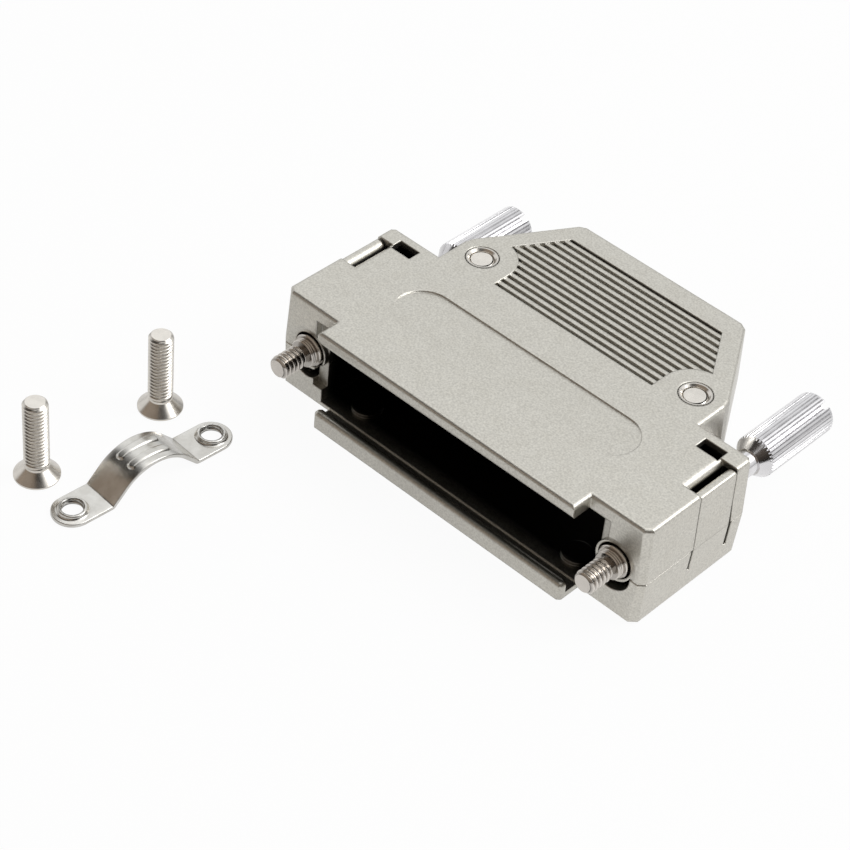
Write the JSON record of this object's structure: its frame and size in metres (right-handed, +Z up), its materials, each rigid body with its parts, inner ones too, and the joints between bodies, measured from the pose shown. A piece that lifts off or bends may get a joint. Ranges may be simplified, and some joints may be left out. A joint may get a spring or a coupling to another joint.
{
  "type": "connector housing",
  "caption": "Metal clamshell backshell for a D-sub cable connector, with captive knurled thumbscrews, ribbed grip, snap arms and its loose cable clamp and clamp screws.",
  "frame": {"origin": "on the base plane, under the middle of the mating face", "axes": "+X across the width to the right thumbscrew, +Y from the mating face to the cable exit, +Z up from the base"},
  "size_m": [0.0649, 0.073, 0.0143],
  "materials": {
    "cast_shell": "satin nickel plating with a fine grain over cast zinc alloy",
    "turned_screw": "bright nickel plating on turned steel",
    "bright_hardware": "bright nickel plating"
  },
  "bodies": {
    "housing": {"upper_shell": "cast_shell", "lower_shell": "cast_shell", "insert_left": "bright_hardware", "insert_right": "bright_hardware", "closing_screw_left": "bright_hardware", "closing_screw_right": "bright_hardware", "cable_clamp": "bright_hardware", "clamp_screw_front": "bright_hardware", "clamp_screw_rear": "bright_hardware"},
    "left_thumbscrew": {"thumbscrew_left": "turned_screw"},
    "right_thumbscrew": {"thumbscrew_right": "turned_screw"}
  },
  "joints": [
    {"name": "left_thumbscrew_turn", "type": "hinge", "parent": "housing", "child": "left_thumbscrew", "pos_m": [-0.02352, 0, 0.0073], "axis": [0, -1, 0], "continuous": true},
    {"name": "right_thumbscrew_turn", "type": "hinge", "parent": "housing", "child": "right_thumbscrew", "pos_m": [0.02352, 0, 0.0073], "axis": [0, -1, 0], "continuous": true}
  ]
}
